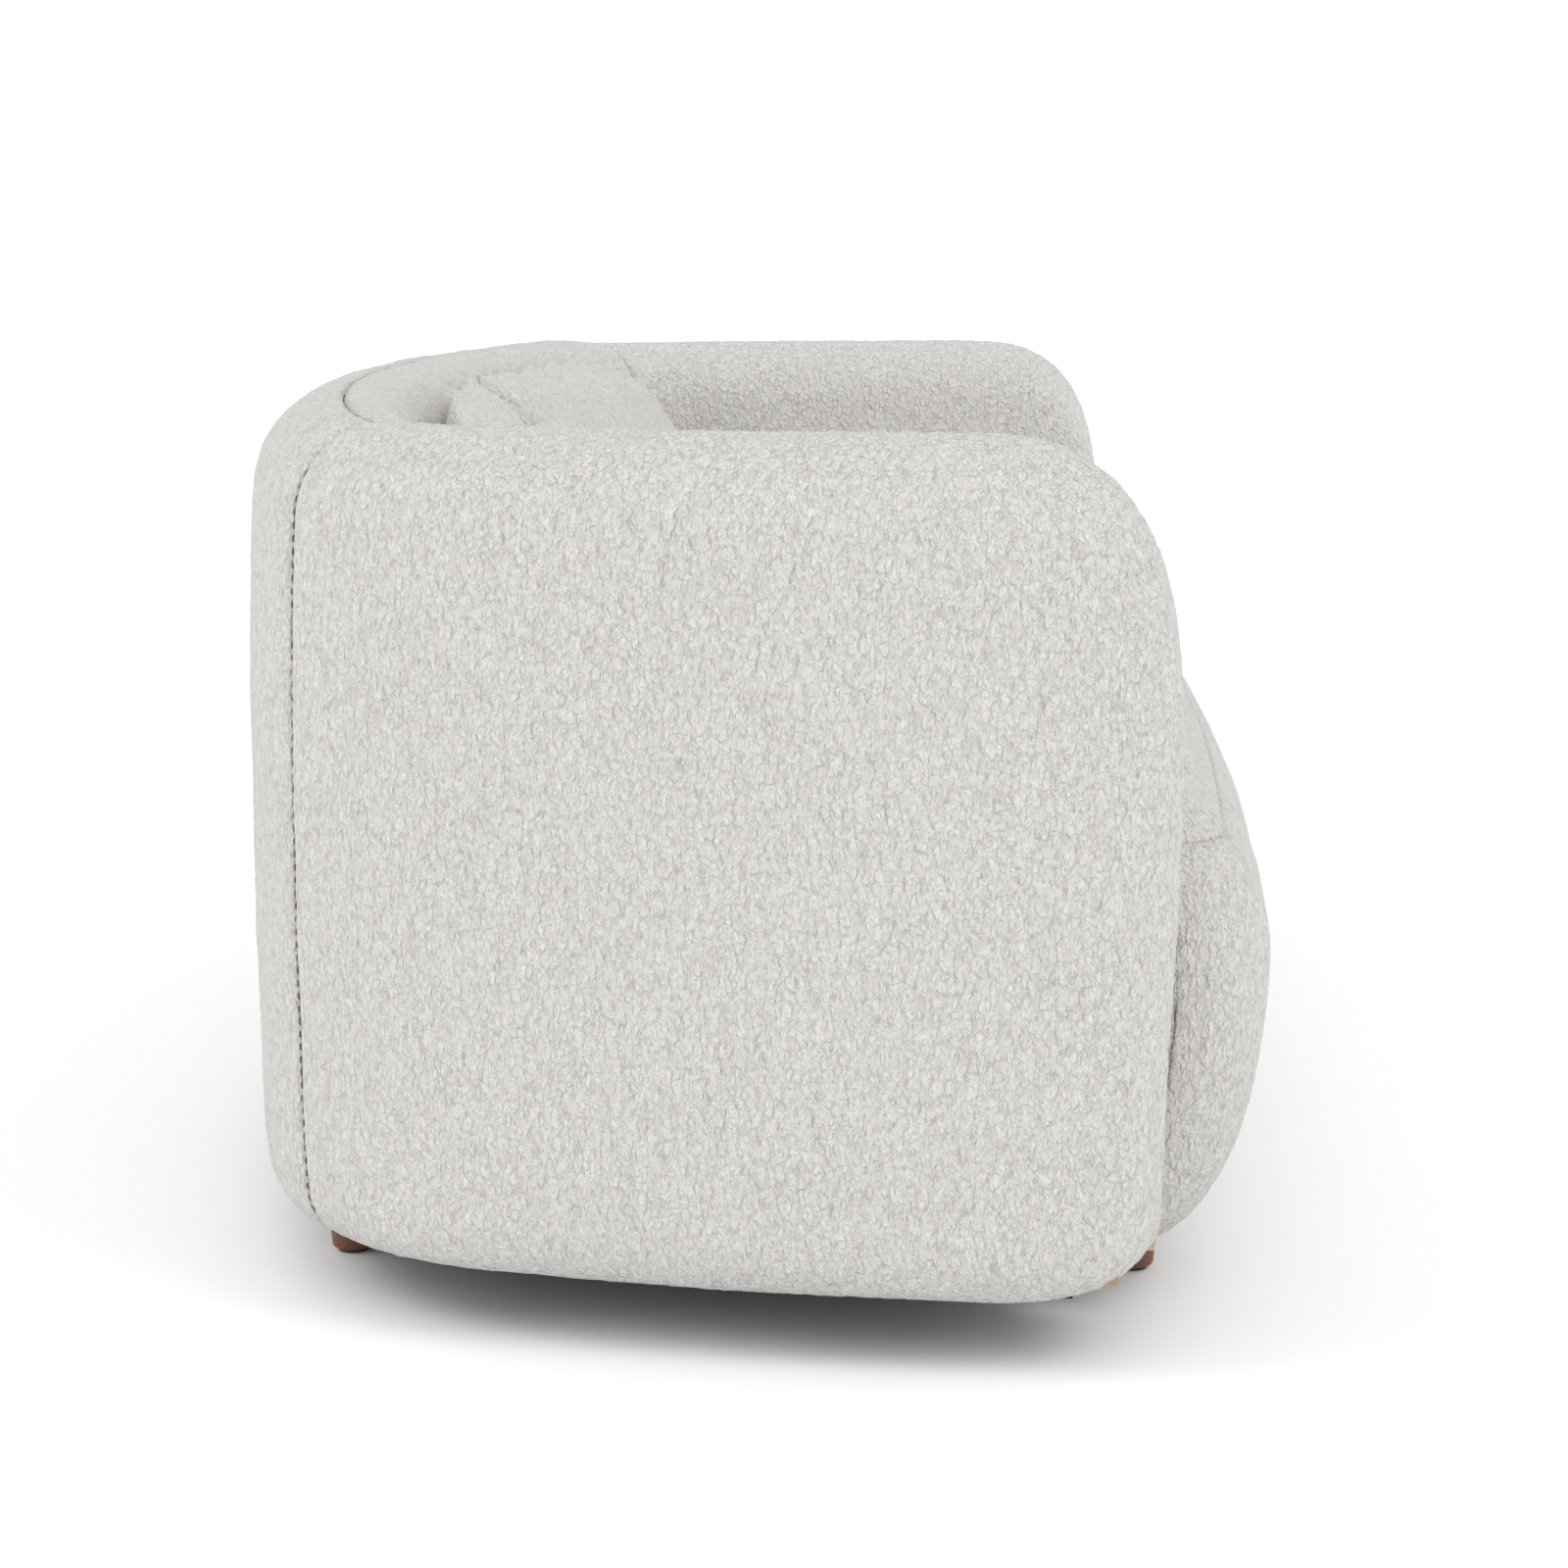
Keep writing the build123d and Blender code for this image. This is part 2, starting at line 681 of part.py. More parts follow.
# ---- loose back cushions ------------------------------------------------------------
with BuildPart() as cushion_cover:
    add(cushion_body(0))
    add(cushion_body(cushion_skin), mode=Mode.SUBTRACT)
save_pair(cushion_cover.part, "cushion_cover")

with BuildPart() as cushion_fill:
    add(cushion_body(cushion_skin + slack))
save_pair(cushion_fill.part, "cushion_fill")
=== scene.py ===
import json
import math
import bmesh
import bpy
import numpy as np
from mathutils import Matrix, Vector


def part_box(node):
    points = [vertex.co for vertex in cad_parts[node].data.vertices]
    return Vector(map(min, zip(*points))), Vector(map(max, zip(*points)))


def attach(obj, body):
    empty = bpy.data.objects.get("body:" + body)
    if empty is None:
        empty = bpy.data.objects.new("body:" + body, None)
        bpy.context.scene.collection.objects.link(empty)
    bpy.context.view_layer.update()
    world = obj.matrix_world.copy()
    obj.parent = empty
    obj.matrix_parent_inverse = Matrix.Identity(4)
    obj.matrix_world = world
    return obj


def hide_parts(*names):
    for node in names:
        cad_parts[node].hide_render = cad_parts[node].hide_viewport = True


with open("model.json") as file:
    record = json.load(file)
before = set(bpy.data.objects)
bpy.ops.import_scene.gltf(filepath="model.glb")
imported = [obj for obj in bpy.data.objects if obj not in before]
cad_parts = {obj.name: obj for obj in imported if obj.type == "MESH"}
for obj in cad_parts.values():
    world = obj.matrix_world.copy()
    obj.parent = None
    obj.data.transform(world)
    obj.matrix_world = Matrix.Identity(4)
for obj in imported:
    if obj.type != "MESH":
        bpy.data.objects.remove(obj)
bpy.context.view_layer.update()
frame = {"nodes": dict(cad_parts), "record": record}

# ---- sizes, in metres ---------------------------------------------------------------
low_corner, high_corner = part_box("arm_outer_cover_right")
arm_outside = high_corner.x
nose_y = low_corner.y
tub_low = low_corner.z
tub_high = high_corner.z + 0.003  # the pile stands a little proud
back_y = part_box("back_outer_cover")[1].y
seat_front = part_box("seat_cover")[0].y + 0.005
seat_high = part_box("seat_cover")[1].z
wall = 0.165                     # thickness of the arms and back
back_radius = 3.493              # the tub's outside is three tangent arcs a side
corner_radius = 0.303
side_radius = 2.25
back_turn = math.radians(13.3)
corner_end = math.radians(75.6)
arm_end = math.radians(90)
seam_heading = math.radians(36)  # upright seam between back and arm
hem_round = 0.052
nose_reach = 0.185               # rounding of the nose's top corner, back and down
nose_drop = 0.262
nose_fullness = 2.8              # 2 is an ellipse, and more is squarer
nose_foot = (0.15, 0.058)        # rounding under the nose, back and up
nose_tuck = 0.06                 # behind this the inside fabric stops above the bearers
bearer_clear = 0.10
nose_lean = 0.017
nose_round = 0.062
side_bulge = 0.006               # the padded panels stand out this far in their middle
back_rise = 0.008                # the crest is this much higher in the middle of the back
seat_gap = 0.001
seat_bow = 0.025
seat_round = 0.085
bulge_height = 0.30
seat_roll_top = (0.155, seat_high - bulge_height)
seat_roll_low = (0.105, bulge_height - tub_low)
seat_side_top = (0.028, 0.034)
seat_side_low = (0.02, 0.03)
turned_under = 0.08             # fabric carried in beneath the seat and the noses
under_clear = 0.002              # that fabric hangs this far below the frame
seat_seam_height = 0.402
seat_crown = 0.008
deck_low = 0.26
seam_depth = 0.0045
seam_width = 0.0055
cushion_rear = (0.225, 0.168, 0.675)   # its rear at its foot and above its bend, and the bend's height
cushion_front = (0.355, 0.168)         # its front at its foot and its top
cushion_end = 0.16                     # thickness left at its ends, as a share
cushion_reach = 0.79                   # how far it runs towards the arm
cushion_swell = 0.011                  # the furthest that the pressure may push it out
cushion_drop = 0.05                    # its top corners are this much lower
cushion_waist = 0.016                  # its ends draw in this far at mid height
padding_swell = (0.16, 0.0045)         # size and height of the padding's soft unevenness
pile_clumps = (0.0085, 0.0022)         # size and height of the pile's clumps
stitch_space = 0.011                   # from one stitch to the next
stitch_long = 0.0065
stitch_thick = 0.0009
stitch_proud = 0.0016                  # thread stands out of the seam this far
pitch = 0.0055
crown = wall / 2


# ---- finishes -----------------------------------------------------------------------
class Amount:
    """A number that varies over a surface, worked with ordinary arithmetic."""

    def __init__(self, finish, socket):
        self.finish = finish
        self.socket = socket

    def _with(self, operation, first, second):
        return self.finish.add("ShaderNodeMath", {"operation": operation}, {0: first, 1: second})

    def __add__(self, other):
        return self._with("ADD", self, other)

    def __sub__(self, other):
        return self._with("SUBTRACT", self, other)

    def __mul__(self, other):
        return self._with("MULTIPLY", self, other)

    def __truediv__(self, other):
        return self._with("DIVIDE", self, other)

    def __pow__(self, other):
        return self._with("POWER", self, other)

    def __rsub__(self, other):
        return self._with("SUBTRACT", other, self)

    __radd__ = __add__
    __rmul__ = __mul__


class Finish:
    """A material made from nodes, one call for each node."""

    def __init__(self, name, **constants):
        self.material = bpy.data.materials.new(name)
        self.material.use_nodes = True
        self.nodes = self.material.node_tree.nodes
        self.links = self.material.node_tree.links
        self.shader = self.nodes["Principled BSDF"]
        for socket, value in constants.items():
            self.shader.inputs[socket.replace("_", " ")].default_value = value

    def add(self, kind, settings=None, inputs=None, output=0):
        node = self.nodes.new(kind)
        for key, value in (settings or {}).items():
            setattr(node, key, value)
        for key, value in (inputs or {}).items():
            self.join(node.inputs[key], value)
        return Amount(self, node.outputs[output])

    def join(self, socket, value):
        if isinstance(value, Amount):
            self.links.new(value.socket, socket)
        elif socket.type == "RGBA":
            socket.default_value = (*value, 1)
        else:
            socket.default_value = value

    def place(self, stretch=(1, 1, 1)):
        """Where a point of the piece is, stretched along each axis."""
        where = self.add("ShaderNodeTexCoord", output="Object")
        return self.add("ShaderNodeVectorMath", {"operation": "MULTIPLY"}, {0: where, 1: stretch})

    def noise(self, place, scale, detail=2.0, roughness=0.5, output="Fac"):
        inputs = {"Vector": place, "Scale": scale, "Detail": detail, "Roughness": roughness}
        return self.add("ShaderNodeTexNoise", None, inputs, output)

    def blend(self, amount, first, second):
        node = self.nodes.new("ShaderNodeMix")
        node.data_type = "RGBA"
        self.join(node.inputs["Factor"], amount)
        self.join(node.inputs[6], first)
        self.join(node.inputs[7], second)
        return Amount(self, node.outputs[2])

    def bump(self, height, distance, strength=1.0):
        inputs = {"Height": height, "Distance": distance, "Strength": strength}
        return self.add("ShaderNodeBump", None, inputs, "Normal")

    def done(self, color, roughness, normal=None):
        self.join(self.shader.inputs["Base Color"], color)
        self.join(self.shader.inputs["Roughness"], roughness)
        if normal is not None:
            self.join(self.shader.inputs["Normal"], normal)
        return self.material


def curly_pile(name, light, shade, nub=0.0044):
    """Cream looped pile: small curled nubs, a little longer than wide, over soft clumps, with painted shade in the
    hollows between them.
    """
    f = Finish(name, Sheen_Weight=0.08, Sheen_Roughness=0.5, Specular_IOR_Level=0.12)
    place = f.place((1, 1, 0.66))
    drift = f.noise(place, 0.6 / nub, 2, 0.6, "Color")
    centred = f.add("ShaderNodeVectorMath", {"operation": "SUBTRACT"}, {0: drift, 1: (0.5, 0.5, 0.5)})
    drift = f.add("ShaderNodeVectorMath", {"operation": "SCALE"}, {0: centred, "Scale": nub * 2.4})
    curled = f.add("ShaderNodeVectorMath", {"operation": "ADD"}, {0: place, 1: drift})
    cell = f.add("ShaderNodeTexVoronoi", {"feature": "F1"}, {"Vector": curled, "Scale": 1 / nub})
    clumps = f.noise(place, 0.42 / nub, 2, 0.55)
    curls = f.noise(curled, 2.6 / nub, 2, 0.6)
    height = clumps * 1.1 - cell * 0.9 + curls * 0.35
    patches = f.noise(f.place(), 2.2, 3, 0.55)
    # Painted shade: the colour runs towards the shade colour in the hollows between the nubs and between the
    # clumps, where their shadow would fall.
    painted_hollow_shade = (cell * 1.1) ** 2 * 0.42 + (1 - clumps) ** 3 * 0.7
    # The patches add a little random tone on top of the painted shade.
    painted_shade_and_tone = painted_hollow_shade + (1 - patches) * 0.06 - 0.05
    color = f.blend(painted_shade_and_tone, light, shade)
    return f.done(color, 0.94 - curls * 0.08, f.bump(height, nub * 0.95, 1.0))


def turned_wood(name, pale, dark, gloss, grain=26.0):
    f = Finish(name, Coat_Weight=gloss, Coat_Roughness=0.25)
    place = f.place((1, 1, 0.12))
    rings = f.noise(place, grain * 6, 4, 0.6)
    streaks = f.noise(place, grain * 30, 3, 0.7)
    color = f.blend(rings * 0.7 + streaks * 0.35, pale, dark)
    return f.done(color, 0.36 + rings * 0.2, f.bump(streaks, 0.0004, 0.4))


def ply_wood(name, pale, dark):
    f = Finish(name)
    layers = f.add("ShaderNodeTexWave", {"bands_direction": "Z"},
                   {"Vector": f.place(), "Scale": 60.0, "Distortion": 2.0})
    fibres = f.noise(f.place((1, 1, 8)), 90, 4, 0.65)
    return f.done(f.blend(layers * 0.35 + fibres * 0.5, pale, dark), 0.7 + fibres * 0.15,
                  f.bump(fibres, 0.0005, 0.5))


def pressed_board(name, pale, dark):
    f = Finish(name)
    flecks = f.noise(f.place(), 420, 3, 0.7)
    return f.done(f.blend(flecks, pale, dark), 0.78 + flecks * 0.1, f.bump(flecks, 0.0004, 0.5))


def woven(name, pale, dark, threads=420.0):
    f = Finish(name, Sheen_Weight=0.1)
    settings = {"wave_type": "BANDS", "bands_direction": "X"}
    across = f.add("ShaderNodeTexWave", settings, {"Vector": f.place(), "Scale": threads / 6.28})
    settings = {"wave_type": "BANDS", "bands_direction": "Z"}
    along = f.add("ShaderNodeTexWave", settings, {"Vector": f.place(), "Scale": threads / 6.28})
    weave = across * 0.5 + along * 0.5
    return f.done(f.blend(weave, dark, pale), 0.85 + weave * 0.1, f.bump(weave, 0.0005, 0.7))


def drawn_steel(name, pale, dark):
    f = Finish(name, Metallic=1.0)
    stains = f.noise(f.place(), 70, 4, 0.6)
    return f.done(f.blend(stains, pale, dark), 0.28 + stains * 0.25)


def moulded_nylon(name, pale, dark):
    f = Finish(name)
    grain = f.noise(f.place(), 900, 2, 0.5)
    return f.done(f.blend(grain, pale, dark), 0.5 + grain * 0.2, f.bump(grain, 0.0002, 0.5))


cream = (0.79, 0.772, 0.75)
# The darker colour that the pile's painted shade runs to in its hollows; random patches use a little of it too.
cream_shade = (0.47, 0.445, 0.42)
pile = curly_pile("cream_pile", cream, cream_shade)
finishes = {
    "pile_fabric": pile,
    "cushion_fabric": pile,
    "foam": pressed_board("yellow_foam", (0.88, 0.82, 0.62), (0.78, 0.70, 0.50)),
    "lining": woven("black_lining", (0.035, 0.035, 0.035), (0.012, 0.012, 0.012)),
    "felt": pressed_board("grey_felt", (0.42, 0.40, 0.38), (0.28, 0.27, 0.26)),
    "webbing": woven("elastic_webbing", (0.16, 0.14, 0.12), (0.05, 0.045, 0.04), 900.0),
    "leg_wood": turned_wood("stained_legs", (0.235, 0.082, 0.035), (0.085, 0.028, 0.014), 0.35),
    "frame_wood": ply_wood("raw_plywood", (0.72, 0.56, 0.37), (0.55, 0.40, 0.24)),
    "hardboard": pressed_board("brown_board", (0.48, 0.34, 0.21), (0.34, 0.23, 0.13)),
    "steel": drawn_steel("plain_steel", (0.62, 0.62, 0.63), (0.42, 0.42, 0.43)),
    "glide": moulded_nylon("black_nylon", (0.04, 0.04, 0.04), (0.02, 0.02, 0.02)),
}
thread = woven("seam_thread", (0.26, 0.24, 0.22), (0.15, 0.14, 0.13), 2400.0)

for part in frame["record"]["subparts"]:
    solid = frame["nodes"][part["node"]]
    solid.data.materials.clear()
    solid.data.materials.append(finishes[part["material_slot"]])


# ---- building ----------------------------------------------------------------------
def ease(value):
    """Smooth step from 0 to 1."""
    value = np.clip(value, 0, 1)
    return value * value * (3 - 2 * value)


def dip(distance):
    """How far a seam draws the fabric in, at a distance from it."""
    return seam_depth * np.exp(-((distance / seam_width) ** 2))


def grid_mesh(name, points, flip=False, ring=False, keep=None):
    """A smooth mesh through a grid of points; ring joins its last row to its first.
    keep says which quads stay, from the middle of each."""
    rows, columns = points.shape[:2]
    index = np.arange(rows * columns).reshape(rows, columns)
    if ring:
        index = np.vstack([index, index[:1]])
    quads = np.stack([index[:-1, :-1], index[1:, :-1], index[1:, 1:], index[:-1, 1:]], -1).reshape(-1, 4)
    if flip:
        quads = quads[:, ::-1]
    if keep is not None:
        quads = quads[keep(points.reshape(-1, 3)[quads].mean(1))]
    mesh = bpy.data.meshes.new(name)
    mesh.from_pydata(points.reshape(-1, 3).tolist(), [], quads.tolist())
    tidy = bmesh.new()
    tidy.from_mesh(mesh)
    bmesh.ops.remove_doubles(tidy, verts=tidy.verts, dist=0.00004)
    bmesh.ops.dissolve_degenerate(tidy, edges=tidy.edges, dist=0.00002)
    bmesh.ops.delete(tidy, geom=[v for v in tidy.verts if not v.link_faces], context="VERTS")
    tidy.to_mesh(mesh)
    tidy.free()
    mesh.polygons.foreach_set("use_smooth", [True] * len(mesh.polygons))
    mesh.update()
    return mesh


def put(name, mesh, material, body, stands_for=()):
    """Place a piece in the scene, riding on its body."""
    piece = bpy.data.objects.new(name, mesh)
    bpy.context.scene.collection.objects.link(piece)
    mesh.materials.clear()
    mesh.materials.append(material)
    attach(piece, body)
    if stands_for:
        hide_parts(*stands_for)
    return piece


def add_nubs(piece, thickness=None):
    """The pile's clumps as real relief, and a soft unevenness of the padding under it."""
    for name, size, strength in (("padding_swell", *padding_swell), ("pile_clumps", *pile_clumps)):
        pattern = bpy.data.textures.get(name) or bpy.data.textures.new(name, "CLOUDS")
        pattern.noise_scale = size
        relief = piece.modifiers.new(name, "DISPLACE")
        relief.texture = pattern
        relief.texture_coords = "LOCAL"
        relief.strength = strength
        relief.mid_level = 0.5
    if thickness:
        cloth = piece.modifiers.new("cloth_thickness", "SOLIDIFY")
        cloth.thickness = thickness
        cloth.offset = -1


# ---- the tub ------------------------------------------------------------------------
back_centre = Vector((0, back_y - back_radius))


def heading_point(centre, radius, heading):
    return centre + radius * Vector((math.sin(heading), math.cos(heading)))


corner_centre = heading_point(back_centre, back_radius - corner_radius, back_turn)
side_centre = heading_point(corner_centre, corner_radius - side_radius, corner_end)
arcs = ((back_centre, back_radius, 0, back_turn),
        (corner_centre, corner_radius, back_turn, corner_end),
        (side_centre, side_radius, corner_end, arm_end))


def headings(start, end, radius):
    count = max(2, round(radius * (end - start) / pitch))
    return np.linspace(start, end, count + 1)[:-1]


def nose_steps():
    """Distances behind the nose's front, closer together towards it."""
    turn = np.linspace(math.pi / 2, 0, round(1.9 * nose_reach / pitch) + 1)
    return nose_reach * (1 - np.cos(turn))


def right_half():
    """Headings, narrowing and distance behind the nose, from the middle of the back to the nose."""
    nose_start = math.acos(nose_reach / side_radius)
    plain = np.concatenate([
        headings(0, back_turn, back_radius),
        headings(back_turn, seam_heading, corner_radius),
        headings(seam_heading, corner_end, corner_radius),
        headings(corner_end, nose_start, side_radius)])
    behind = nose_steps()
    turns = np.arccos(behind / side_radius)
    closing = np.linspace(1, 0, max(3, round((crown - nose_round) / pitch)) + 1)[1:]
    heading = np.concatenate([plain, turns, np.full(len(closing), arm_end)])
    distance = np.concatenate([np.full(len(plain), nose_reach * 2), behind, np.zeros(len(closing))])
    share = np.concatenate([np.ones(len(plain) + len(behind)), closing])
    return heading, distance, share


def corner_fall(distance, reach, drop, fullness=2.0):
    """How far a rounded corner has fallen at a distance from its end."""
    along = 1 - np.clip(distance / reach, 0, 1)
    return drop * (1 - np.clip(1 - along**fullness, 0, 1) ** (1 / fullness))


def tub_grid():
    """The right half of the tub: rows along it, columns from under it over the crest to its inside."""
    heading, distance, share = right_half()
    which = [0 if h < back_turn else 1 if h < corner_end else 2 for h in heading]
    centre = np.array([arcs[i][0] for i in which])
    radius = np.array([arcs[i][1] for i in which])
    step = np.diff(heading, prepend=0) * radius
    along = np.cumsum(step)
    seam_at = np.interp(seam_heading, heading[distance > nose_reach], along[distance > nose_reach])
    seam = dip(along - seam_at)
    half = crown - corner_fall(distance, nose_round, nose_round)
    half = half * share - seam
    top = tub_high - corner_fall(distance, nose_reach, nose_drop, nose_fullness) - seam
    top = top + back_rise * np.clip(np.cos(np.clip(heading / seam_heading, 0, 1) * math.pi / 2), 0, 1)
    low = tub_low + corner_fall(distance, *nose_foot)
    half, top, low, seam = (a[:, None] for a in (half, top, low, seam))
    hem = np.minimum(hem_round, half)
    shoulder = top - half
    flat = np.linspace(0, 1, 5)[None, :]
    quarter = np.linspace(0, math.pi / 2, round(1.6 * hem_round / pitch) + 1)[None, 1:]
    upright = np.linspace(0, 1, round(0.55 / pitch) + 1)[None, 1:]
    arch = np.linspace(0, math.pi / 2, round(0.13 / pitch) + 1)[None, 1:]
    ones = np.ones_like(half)
    rise = low + hem + (shoulder - low - hem) * upright
    fall = shoulder - (shoulder - low) * upright
    swell = np.sin(math.pi * upright) ** 0.7 * side_bulge * half / crown
    inset = np.hstack([
        crown - (half - hem) * flat,
        crown - half + hem - hem * np.sin(quarter),
        crown - half - swell,
        crown - half * np.cos(arch),
        crown + half * np.sin(arch),
        crown + half + swell * 0.6])
    height = np.hstack([
        low * ones + 0 * flat,
        low + hem - hem * np.cos(quarter),
        rise,
        shoulder + half * np.sin(arch),
        shoulder + half * np.cos(arch),
        fall])
    crest = flat.size + quarter.size + upright.size + arch.size - 1
    top_place = slice(crest, crest + 1)
    from_crest = np.linalg.norm(np.stack([inset - inset[:, top_place], height - height[:, top_place]]), axis=0)
    height = height - dip(from_crest)
    reach = radius[:, None] - inset
    x = centre[:, :1] + reach * np.sin(heading)[:, None]
    y = centre[:, 1:] + reach * np.cos(heading)[:, None]
    lean = nose_lean * np.clip((tub_high - nose_drop - height) / (tub_high - nose_drop - tub_low), 0, 1)
    y = y + lean * (1 - ease(distance[:, None] / nose_reach))
    y = y + dip(half * share[:, None]) * (share[:, None] < 1)
    seam_row = int(np.argmin(np.abs(along - seam_at) + (distance <= nose_reach) * 9))
    return np.stack([x, y, height], -1), seam_row, crest


def mirrored(points):
    return points * np.array([-1, 1, 1])


tub, seam_row, crest = tub_grid()
across = np.linspace(0, 1, 10)[None, 1:, None]  # closes the underside, inside edge to middle
tub = np.concatenate([tub, tub[:, -1:] + (tub[:, :1] - tub[:, -1:]) * across], 1)


def clear_of_bearers(places):
    return (places[:, 2] > bearer_clear) | (places[:, 1] < nose_y + nose_tuck)


panels = {
    "outer": (slice(None, crest + 1), None),
    "inner": (slice(crest, None), clear_of_bearers)}
for face, (columns, keep) in panels.items():
    arm_rows = tub[seam_row:, columns]
    back_rows = tub[:seam_row + 1, columns]
    whole_back = np.concatenate([mirrored(back_rows)[:0:-1], back_rows])
    foam = face == "outer"
    for side, rows, turned in (("right", arm_rows, True), ("left", mirrored(arm_rows), False)):
        nodes = [f"arm_{face}_cover_{side}"] + ([f"arm_foam_{side}"] if foam else [])
        panel = put(f"arm_{face}_panel_{side}", grid_mesh(f"arm_{face}_{side}", rows, turned, keep=keep), pile,
                    "sofa", nodes)
        add_nubs(panel, 0.003)
    nodes = [f"back_{face}_cover"] + (["back_foam"] if foam else [])
    panel = put(f"back_{face}_panel", grid_mesh(f"back_{face}", whole_back, True, keep=keep), pile,
                "sofa", nodes)
    add_nubs(panel, 0.003)


# ---- stitches -------------------------------------------------------------------------
def stitched(name, path, outward):
    """A row of short thread stitches lying along a path."""
    run = np.concatenate([[0], np.cumsum(np.linalg.norm(np.diff(path, axis=0), axis=1))])
    turns = np.linspace(0, 2 * math.pi, 7)[:-1]
    points, faces = [], []
    for start in np.arange(stitch_space, run[-1] - stitch_space, stitch_space):
        ends = [np.array([np.interp(start + step, run, path[:, i]) for i in range(3)]) for step in (0, stitch_long)]
        ahead = (ends[1] - ends[0]) / np.linalg.norm(ends[1] - ends[0])
        aside = np.cross(ahead, outward)
        aside = aside / np.linalg.norm(aside)
        first = len(points)
        for share, full in ((0, 0.35), (0.2, 1), (0.8, 1), (1, 0.35)):
            centre = ends[0] + (ends[1] - ends[0]) * share + outward * stitch_proud * full
            for turn in turns:
                points.append(centre + stitch_thick * full * (math.cos(turn) * aside + math.sin(turn) * outward))
        for ring in range(3):
            for i in range(6):
                a, b = first + ring * 6 + i, first + ring * 6 + (i + 1) % 6
                faces.append((a, b, b + 6, a + 6))
        faces.append(tuple(range(first + 5, first - 1, -1)))
        faces.append(tuple(range(first + 18, first + 24)))
    mesh = bpy.data.meshes.new(name)
    mesh.from_pydata([tuple(p) for p in points], [], faces)
    mesh.polygons.foreach_set("use_smooth", [True] * len(mesh.polygons))
    return mesh


for side, turn in (("right", 1), ("left", -1)):
    path = tub[seam_row, 4:crest - 2] * np.array([turn, 1, 1])
    outward = np.array([turn * math.sin(seam_heading), math.cos(seam_heading), 0])
    put(f"seam_thread_{side}", stitched(f"seam_thread_{side}", path, outward), thread, "sofa")


# ---- the seat -----------------------------------------------------------------------
def seat_plan():
    """Points round the seat's widest outline, how far each belongs to its full front, and which reach down."""
    side = arm_outside - wall - seat_gap
    bow_radius = (side**2 + seat_bow**2) / (2 * seat_bow)
    bow_y = seat_front + bow_radius
    tangent = math.asin((side - seat_round) / (bow_radius - seat_round))
    corner_y = bow_y - math.sqrt((bow_radius - seat_round) ** 2 - (side - seat_round) ** 2)
    points = []
    for turn in np.linspace(0, tangent, 160):
        points.append((bow_radius * math.sin(turn), bow_y - bow_radius * math.cos(turn)))
    for turn in np.linspace(tangent, math.pi / 2, 40)[1:]:
        points.append((side - seat_round + seat_round * math.sin(turn), corner_y - seat_round * math.cos(turn)))
    for centre, radius, start, end in reversed(arcs):
        for turn in np.linspace(end, start, 80):
            points.append(tuple(heading_point(centre, radius - wall - seat_gap, turn)))
    points = np.array(points)
    run = np.concatenate([[0], np.cumsum(np.linalg.norm(np.diff(points, axis=0), axis=1))])
    even = np.linspace(0, run[-1], round(run[-1] / pitch) + 1)
    half = np.stack([np.interp(even, run, points[:, 0]), np.interp(even, run, points[:, 1])], -1)
    outline = np.concatenate([half, (half * [-1, 1])[-2:0:-1]])
    full = 1 - ease((outline[:, 1] - corner_y) / (nose_y + 0.15 - corner_y))
    footed = 1 - ease((outline[:, 1] - nose_y - nose_tuck) / 0.03)
    return outline, full, footed


def seat_rows(fullness, footing):
    """For each place round the seat, insets and heights from its top edge, through the seam, to its foot."""
    top_count = round(0.17 / pitch)
    low_count = round(0.5 / pitch)
    quarter = np.linspace(0, math.pi / 2, 60)
    tops, lows = [], []
    for full, footed in zip(fullness, footing):
        reach, drop = (full * a + (1 - full) * b for a, b in zip(seat_roll_top, seat_side_top))
        tuck, lift = (full * a + (1 - full) * b for a, b in zip(seat_roll_low, seat_side_low))
        foot = footed * tub_low + (1 - footed) * deck_low
        under = np.linspace(0, turned_under, 12)[1:]
        inset = np.concatenate([reach * (1 - np.sin(quarter)), tuck * (1 - np.cos(quarter)), tuck + under])
        height = np.concatenate([seat_high - drop * (1 - np.cos(quarter)), foot + lift * (1 - np.sin(quarter)),
                                 np.full(len(under), foot - under_clear)])
        run = np.concatenate([[0], np.cumsum(np.hypot(np.diff(inset), np.diff(height)))])
        seam_run = np.interp(-seat_seam_height, -height, run)
        for counted, start, end, kept in ((top_count, 0, seam_run, tops), (low_count, seam_run, run[-1], lows)):
            at = np.linspace(start, end, counted + 1)
            pull = dip(at - seam_run)
            kept.append(np.stack([np.interp(at, run, inset) + pull, np.interp(at, run, height)], -1))
    return np.array(tops), np.array(lows)


outline, fullness, footing = seat_plan()
spine_half, spine_y = 0.74, -0.08
spine = np.stack([np.clip(outline[:, 0], -spine_half, spine_half), np.full(len(outline), spine_y)], -1)
inward = spine - outline
length = np.linalg.norm(inward, axis=1, keepdims=True)
inward = inward / length


def around(rows):
    """Points of the seat's sides from insets and heights."""
    flat = outline[:, None, :] + inward[:, None, :] * rows[:, :, :1]
    return np.concatenate([flat, rows[:, :, 1:]], -1)


